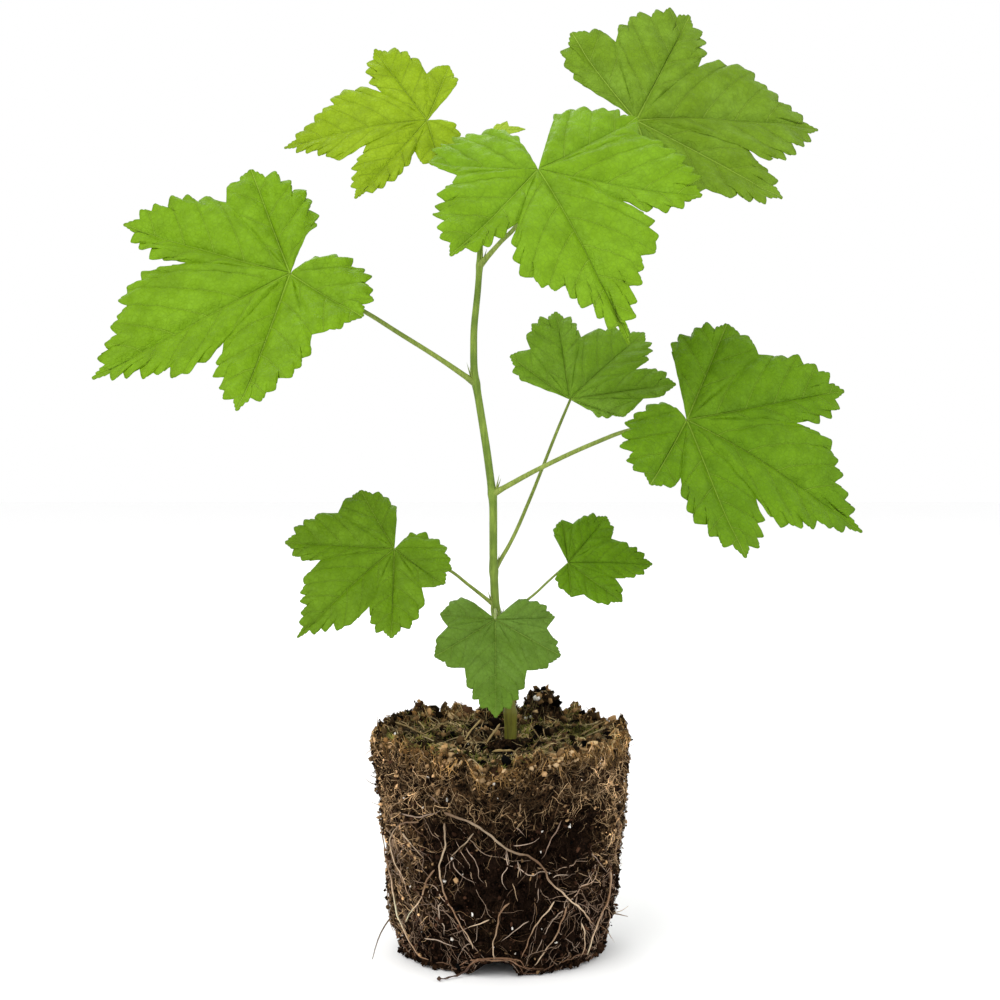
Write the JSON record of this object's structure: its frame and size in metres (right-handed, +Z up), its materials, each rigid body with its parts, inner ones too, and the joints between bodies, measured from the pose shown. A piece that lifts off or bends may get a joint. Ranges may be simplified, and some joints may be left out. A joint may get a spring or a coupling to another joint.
{
  "type": "young thimbleberry plant on its root ball",
  "caption": "Young thimbleberry plant with an upright green cane, long-stalked lobed and toothed leaves, on a round bare root ball.",
  "frame": {"origin": "centre of the root ball's flat underside", "axes": "+Z up along the plant, +X to its right seen from the front, -Y towards its front"},
  "size_m": [0.3472, 0.1558, 0.4477],
  "materials": {
    "root_ball": "matt moist compost, moss and fibres",
    "cane": "satin green skin with fine hairs",
    "stalks": "satin green skin with fine hairs",
    "roots": "matt pale root skin",
    "leaf_left": "soft matt leaf, finely hairy",
    "leaf_top_left": "soft matt leaf, finely hairy",
    "leaf_top_front": "soft matt leaf, finely hairy",
    "leaf_top_right": "soft matt leaf, finely hairy",
    "leaf_middle_back": "soft matt leaf, finely hairy",
    "leaf_right": "soft matt leaf, finely hairy",
    "leaf_lower_left": "soft matt leaf, finely hairy",
    "leaf_lower_right": "soft matt leaf, finely hairy",
    "leaf_lowest_front": "soft matt leaf, finely hairy",
    "leaf_shoot_tip": "soft matt leaf, finely hairy"
  },
  "bodies": {
    "root": {"cane": "cane", "leaf_left": "leaf_left", "leaf_lower_left": "leaf_lower_left", "leaf_lower_right": "leaf_lower_right", "leaf_lowest_front": "leaf_lowest_front", "leaf_middle_back": "leaf_middle_back", "leaf_right": "leaf_right", "leaf_shoot_tip": "leaf_shoot_tip", "leaf_top_front": "leaf_top_front", "leaf_top_left": "leaf_top_left", "leaf_top_right": "leaf_top_right", "root_ball": "root_ball", "root_front_cross": "roots", "root_front_left": "roots", "root_front_link": "roots", "root_front_low": "roots", "root_front_middle": "roots", "root_front_right": "roots", "root_left_fork": "roots", "root_left_inner": "roots", "root_left_outer": "roots", "root_left_slant": "roots", "root_right": "roots", "root_right_fork": "roots", "root_round_1": "roots", "root_round_2": "roots", "root_round_3": "roots", "root_round_4": "roots", "root_round_5": "roots", "root_round_6": "roots", "root_round_7": "roots", "root_round_8": "roots", "root_thickest": "roots", "stalk_left": "stalks", "stalk_lower_left": "stalks", "stalk_lower_right": "stalks", "stalk_lowest_front": "stalks", "stalk_middle_back": "stalks", "stalk_right": "stalks", "stalk_top_front": "stalks", "stalk_top_left": "stalks", "stalk_top_right": "stalks"}
  },
  "joints": []
}
